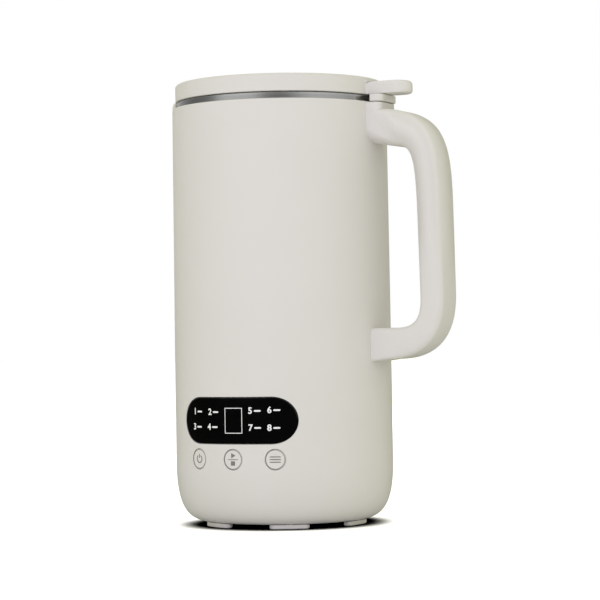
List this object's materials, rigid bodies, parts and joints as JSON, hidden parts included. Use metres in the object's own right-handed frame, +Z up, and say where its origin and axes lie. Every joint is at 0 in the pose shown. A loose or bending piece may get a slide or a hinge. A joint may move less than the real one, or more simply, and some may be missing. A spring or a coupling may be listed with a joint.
{
  "type": "soy milk maker",
  "caption": "Mug-shaped soy milk maker: plastic body round a steel cup with a motor-driven blade, lift-off disc lid with a tab, D-shaped handle, pill-shaped glossy panel and round push keys.",
  "frame": {"origin": "centre of the base cover's flat underside, on the body axis; the feet reach 2.2 mm lower", "axes": "+Z up along the body axis, -Y towards the control panel, +X towards the handle, -X towards the pour lip"},
  "size_m": [0.1664, 0.12, 0.2431],
  "materials": {
    "cream_plastic": "satin off-white",
    "black_gloss": "high gloss black",
    "brushed_steel": "brushed",
    "brass": "plain",
    "copper": "enamelled copper",
    "motor_iron": "laminated sheet",
    "silicone": "translucent white silicone",
    "circuit_board": "green solder mask",
    "dark_nylon": "matt black",
    "carbon": "graphite",
    "aluminium": "die cast"
  },
  "bodies": {
    "housing": {"outer_shell": "cream_plastic", "handle": "cream_plastic", "handle_cover": "cream_plastic", "handle_screw_upper": "brushed_steel", "handle_screw_lower": "brushed_steel", "lid_contact_socket": "dark_nylon", "inner_cup": "brushed_steel", "cup_gasket": "silicone", "shaft_seal": "silicone", "heater_ring": "aluminium", "temperature_sensor": "brushed_steel", "thermal_cutoff": "dark_nylon", "panel_lens": "black_gloss", "display_module": "dark_nylon", "control_board": "circuit_board", "bearing_upper": "brushed_steel", "bearing_lower": "brushed_steel", "bracket_upper": "aluminium", "bracket_lower": "aluminium", "stator_stack": "motor_iron", "field_coil_front": "copper", "field_coil_back": "copper", "brush_holder_left": "brass", "brush_holder_right": "brass", "carbon_brush_left": "carbon", "carbon_brush_right": "carbon", "power_board": "circuit_board", "transformer": "motor_iron", "inlet_socket": "dark_nylon", "inlet_pin_line": "brass", "inlet_pin_neutral": "brass", "inlet_pin_earth": "brass", "base_cover": "cream_plastic", "base_screw_1": "brushed_steel", "base_screw_2": "brushed_steel", "base_screw_3": "brushed_steel", "foot_1": "cream_plastic", "foot_2": "cream_plastic", "foot_3": "cream_plastic", "foot_4": "cream_plastic", "foot_5": "cream_plastic", "foot_6": "cream_plastic"},
    "rotor": {"rotor_shaft": "brushed_steel", "armature_core": "motor_iron", "armature_winding": "copper", "commutator": "copper", "cooling_fan": "dark_nylon", "blade_spacer": "brushed_steel", "blade_set": "brushed_steel", "blade_nut": "brushed_steel"},
    "lid": {"lid_shell": "cream_plastic", "lid_liner": "brushed_steel", "lid_seal": "silicone", "overflow_electrode": "brushed_steel", "coupler_block": "cream_plastic", "coupler_pin_front": "brass", "coupler_pin_back": "brass"},
    "key_left": {"key_left": "cream_plastic"},
    "key_center": {"key_center": "cream_plastic"},
    "key_right": {"key_right": "cream_plastic"}
  },
  "joints": [
    {"name": "rotor_spin", "type": "hinge", "parent": "housing", "child": "rotor", "pos_m": [0, 0, 0.05], "axis": [0, 0, 1], "continuous": true},
    {"name": "lid_lift", "type": "slide", "parent": "housing", "child": "lid", "axis": [0, 0, 1], "range_m": [0, 0.06]},
    {"name": "key_left_press", "type": "slide", "parent": "housing", "child": "key_left", "axis": [0, 1, 0], "range_m": [0, 0.0008], "stiffness_N_per_m": 600, "springref_m": -0.0015},
    {"name": "key_center_press", "type": "slide", "parent": "housing", "child": "key_center", "axis": [0, 1, 0], "range_m": [0, 0.0008], "stiffness_N_per_m": 600, "springref_m": -0.0015},
    {"name": "key_right_press", "type": "slide", "parent": "housing", "child": "key_right", "axis": [0, 1, 0], "range_m": [0, 0.0008], "stiffness_N_per_m": 600, "springref_m": -0.0015}
  ]
}
